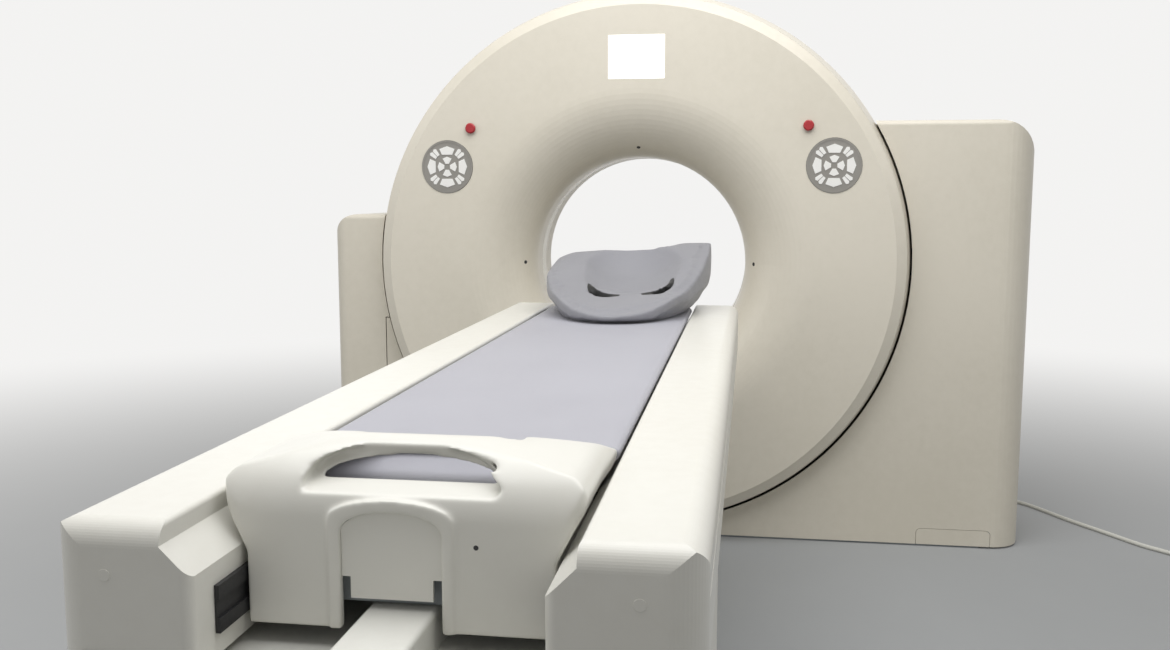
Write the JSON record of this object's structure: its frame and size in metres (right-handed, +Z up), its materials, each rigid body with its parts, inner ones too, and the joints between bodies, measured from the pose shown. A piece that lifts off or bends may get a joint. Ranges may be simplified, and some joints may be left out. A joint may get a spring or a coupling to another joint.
{
  "type": "ct scanner",
  "caption": "CT scanner: a round tilting gantry with a flared bore between fixed side covers, and a lifting patient table with a sliding padded top, headrest and floor cable.",
  "frame": {"origin": "on the floor under the isocentre, at the centre of the gantry's four floor anchors", "axes": "+X to the right of the gantry seen from the table, +Y along the scan axis from the table's foot to the gantry's rear, +Z up"},
  "size_m": [3.0868, 3.2672, 1.805],
  "materials": {
    "fixed_cover": "painted moulded shell, satin, warm off-white, small scuffs",
    "disc_cover": "painted moulded shell, satin, warm off-white",
    "scan_window": "thin translucent film over the scan gap",
    "display": "flat bright display window",
    "panel": "grey membrane keypad",
    "keys": "white printed key fields",
    "stop_button": "dark red moulded button",
    "table_cover": "white moulded shell, satin",
    "deck": "white powder coat",
    "pedestal_cover": "white powder coat",
    "mattress": "pale grey coated fabric over foam, soft wrinkles",
    "headrest": "pale grey moulded foam skin",
    "tabletop": "dark carbon-fibre laminate",
    "cable": "pale grey cable sheath",
    "floor_plate": "grey paint, worn",
    "painted_frame": "grey machine paint",
    "steel": "ground steel",
    "motor": "dark grey machine paint",
    "black_plastic": "black plastic",
    "rubber": "black rubber",
    "dark_metal": "dark machined metal",
    "slip_metal": "copper-coloured contact rings"
  },
  "bodies": {
    "base": {"base_frame": "painted_frame", "trunnion_bearings": "steel", "tilt_gearmotor": "motor", "front_cover_right": "fixed_cover", "front_cover_left": "fixed_cover", "rear_cover_right": "fixed_cover", "rear_cover_left": "fixed_cover", "service_hatch": "fixed_cover", "cable_gland": "cable", "floor_cable": "cable", "cable_coil": "cable", "cable_plug": "cable", "table_base": "floor_plate", "lift_column_outer": "steel", "pedestal_cover_lower": "pedestal_cover"},
    "mid_stage": {"lift_column_mid": "steel", "pedestal_cover_mid": "pedestal_cover"},
    "lift": {"lift_column_inner": "steel", "pedestal_cover_upper": "pedestal_cover", "table_frame": "painted_frame", "deck_plate": "deck", "arm_cover_left": "table_cover", "arm_cover_right": "table_cover", "centre_rail": "deck", "slide_rails": "black_plastic", "carriage_motor": "motor"},
    "roller": {"drive_roller": "rubber"},
    "carriage": {"tabletop": "tabletop", "mattress": "mattress", "end_cover": "table_cover", "rail_shield": "table_cover", "carriage_frame": "painted_frame", "headrest": "headrest"},
    "tilting_gantry": {"tilt_frame": "painted_frame", "front_disc_cover": "disc_cover", "rear_disc_cover": "disc_cover", "rim_cover_left": "disc_cover", "rim_cover_right": "disc_cover", "scan_window": "scan_window", "gantry_display": "display", "control_panels": "panel", "panel_keys": "keys", "laser_modules": "black_plastic", "bearing_outer_race": "steel", "brush_block": "black_plastic", "drive_motor": "motor", "drive_belt": "rubber"},
    "pulley": {"motor_pulley": "dark_metal"},
    "rotor": {"rotor_drum": "painted_frame", "bearing_inner_race": "steel", "slip_ring": "slip_metal", "xray_tube": "motor", "collimator": "dark_metal", "hv_generator": "painted_frame", "tube_cooler": "motor", "detector_array": "dark_metal"},
    "balls": {"bearing_balls": "steel"},
    "estop_left": {"estop_left": "stop_button"},
    "estop_right": {"estop_right": "stop_button"}
  },
  "joints": [
    {"name": "gantry_tilt", "type": "hinge", "parent": "base", "child": "tilting_gantry", "pos_m": [0, 0, 0.915], "axis": [-1, 0, 0], "range_deg": [-30, 30]},
    {"name": "rotor_spin", "type": "hinge", "parent": "tilting_gantry", "child": "rotor", "pos_m": [0, 0.125, 0.915], "axis": [0, 1, 0], "continuous": true},
    {"name": "ball_roll", "type": "hinge", "parent": "tilting_gantry", "child": "balls", "pos_m": [0, 0.125, 0.915], "axis": [0, 1, 0], "continuous": true},
    {"name": "pulley_spin", "type": "hinge", "parent": "tilting_gantry", "child": "pulley", "pos_m": [0.52326, 0.1, 0.39174], "axis": [0, 1, 0], "continuous": true},
    {"name": "table_lift", "type": "slide", "parent": "base", "child": "lift", "axis": [0, 0, 1], "range_m": [-0.33, 0]},
    {"name": "mid_stage_lift", "type": "slide", "parent": "base", "child": "mid_stage", "axis": [0, 0, 1], "range_m": [-0.165, 0]},
    {"name": "top_slide", "type": "slide", "parent": "lift", "child": "carriage", "axis": [0, 1, 0], "range_m": [0, 1.5]},
    {"name": "roller_spin", "type": "hinge", "parent": "lift", "child": "roller", "pos_m": [0, -0.652, 0.7257], "axis": [-1, 0, 0], "range_deg": [0, 5372]},
    {"name": "stop_press_left", "type": "slide", "parent": "tilting_gantry", "child": "estop_left", "axis": [0, 1, 0], "range_m": [0, 0.0035], "stiffness_N_per_m": 2000, "springref_m": -0.002},
    {"name": "stop_press_right", "type": "slide", "parent": "tilting_gantry", "child": "estop_right", "axis": [0, 1, 0], "range_m": [0, 0.0035], "stiffness_N_per_m": 2000, "springref_m": -0.002}
  ],
  "couplings": [
    {"joint": "ball_roll", "follows": "rotor_spin", "ratio": 0.4894},
    {"joint": "pulley_spin", "follows": "rotor_spin", "ratio": 13.778},
    {"joint": "mid_stage_lift", "follows": "table_lift", "ratio": 0.5},
    {"joint": "roller_spin", "follows": "top_slide", "rad_per_m": 62.5}
  ]
}
